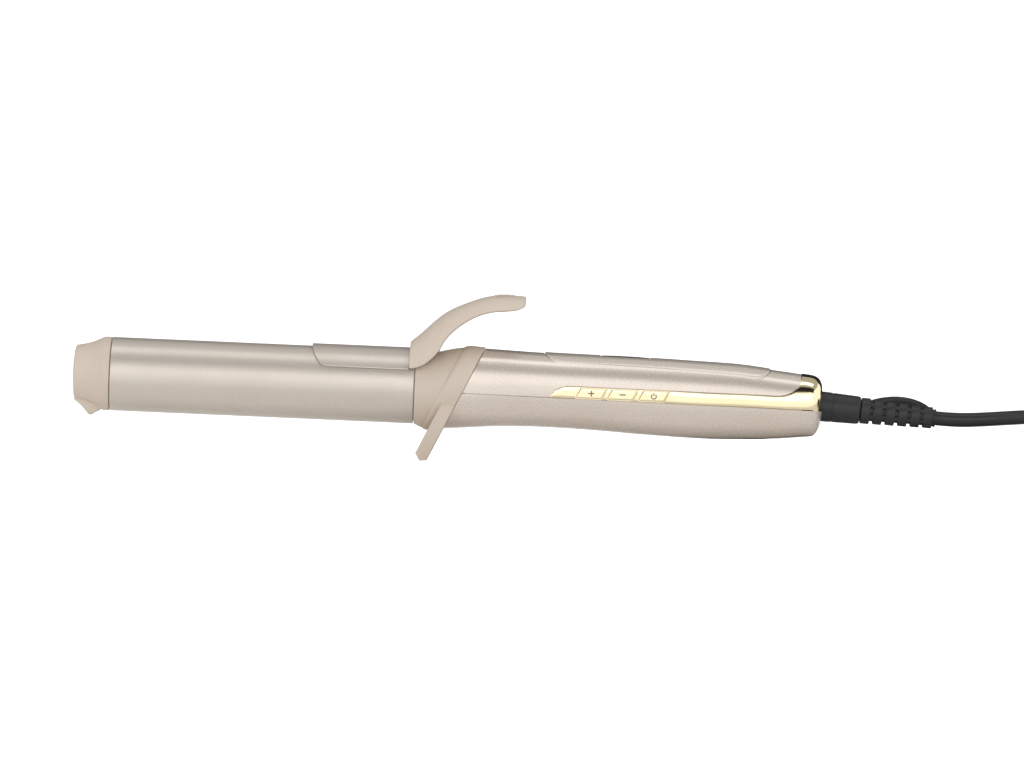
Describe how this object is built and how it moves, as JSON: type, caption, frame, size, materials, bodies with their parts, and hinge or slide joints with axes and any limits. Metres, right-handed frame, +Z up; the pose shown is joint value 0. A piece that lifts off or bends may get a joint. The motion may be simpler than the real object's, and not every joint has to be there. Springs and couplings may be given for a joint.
{
  "type": "curling iron",
  "caption": "Hair curling iron with a heated barrel, a sprung clamp and thumb lever, a stand foot, side buttons and a swivel cord.",
  "frame": {"origin": "centre of the stand foot's flat sole, on the table the iron lies on", "axes": "+Z up from the table, +X from the cool tip to the cord, the buttons face -Y, the thumb lever is on top"},
  "size_m": [0.6452, 0.0564, 0.0698],
  "materials": {
    "champagne_plastic": "matte soft-touch",
    "barrel_coating": "satin",
    "pearl_plastic": "pearl satin",
    "gold_plating": "polished pale gold",
    "black_rubber": "matte",
    "aluminium": "plain",
    "steel": "plain",
    "brass": "plain",
    "ceramic": "matte",
    "circuit_board": "solder mask",
    "component_plastic": "matte",
    "wire_sleeve": "matte",
    "smoked_lens": "gloss",
    "strap_fabric": "woven"
  },
  "bodies": {
    "iron": {"cool_tip": "champagne_plastic", "stand_collar": "champagne_plastic", "barrel_tube": "barrel_coating", "upper_shell": "pearl_plastic", "lower_shell": "pearl_plastic", "top_panel": "pearl_plastic", "gold_trim": "gold_plating", "cord_tube": "black_rubber", "cord_hank": "black_rubber", "cord_tail": "black_rubber", "plug_body": "black_rubber", "heat_spreader_upper": "aluminium", "heat_spreader_lower": "aluminium", "spreader_spring": "steel", "lever_spring": "steel", "board_screw_1": "steel", "board_screw_2": "steel", "shell_screw_1": "steel", "shell_screw_2": "steel", "thermal_fuse": "brass", "contact_brush_1": "brass", "contact_brush_2": "brass", "plug_blade_near": "brass", "plug_blade_far": "brass", "tip_holder": "ceramic", "heater_core": "ceramic", "thermistor": "ceramic", "barrel_socket": "ceramic", "control_board": "circuit_board", "button_board": "circuit_board", "tact_switch_plus": "component_plastic", "tact_switch_minus": "component_plastic", "tact_switch_power": "component_plastic", "film_capacitor": "component_plastic", "triac": "component_plastic", "microcontroller": "component_plastic", "display_module": "component_plastic", "swivel_housing": "component_plastic", "heater_lead_front": "wire_sleeve", "heater_lead_rear": "wire_sleeve", "heater_lead_return": "wire_sleeve", "sensor_lead": "wire_sleeve", "supply_lead_live": "wire_sleeve", "supply_lead_neutral": "wire_sleeve", "display_window": "smoked_lens", "hank_tie": "strap_fabric"},
    "clamp": {"clamp_plate": "barrel_coating", "clamp_lever": "champagne_plastic", "hinge_pin": "steel", "clamp_rivet_near": "steel", "clamp_rivet_far": "steel"},
    "cord_swivel": {"swivel_sleeve": "black_rubber", "contact_ring_1": "brass", "contact_ring_2": "brass", "strain_relief": "black_rubber"},
    "plus_key": {"plus_button": "gold_plating"},
    "minus_key": {"minus_button": "gold_plating"},
    "power_key": {"power_button": "gold_plating"}
  },
  "joints": [
    {"name": "clamp_lever", "type": "hinge", "parent": "iron", "child": "clamp", "pos_m": [0.00755, 0, 0.04777], "axis": [0, 1, 0], "range_deg": [0, 22], "stiffness_Nm_per_rad": 0.12, "springref_deg": -34.38},
    {"name": "plus_press", "type": "slide", "parent": "iron", "child": "plus_key", "axis": [0, 1, 0], "range_m": [0, 0.0005], "stiffness_N_per_m": 600, "springref_m": -0.0005},
    {"name": "minus_press", "type": "slide", "parent": "iron", "child": "minus_key", "axis": [0, 1, 0], "range_m": [0, 0.0005], "stiffness_N_per_m": 600, "springref_m": -0.0005},
    {"name": "power_press", "type": "slide", "parent": "iron", "child": "power_key", "axis": [0, 1, 0], "range_m": [0, 0.0005], "stiffness_N_per_m": 600, "springref_m": -0.0005},
    {"name": "cord_swivel", "type": "hinge", "parent": "iron", "child": "cord_swivel", "pos_m": [0.17475, 0, 0.01304], "axis": [0.9864, 0, -0.1643], "continuous": true}
  ]
}
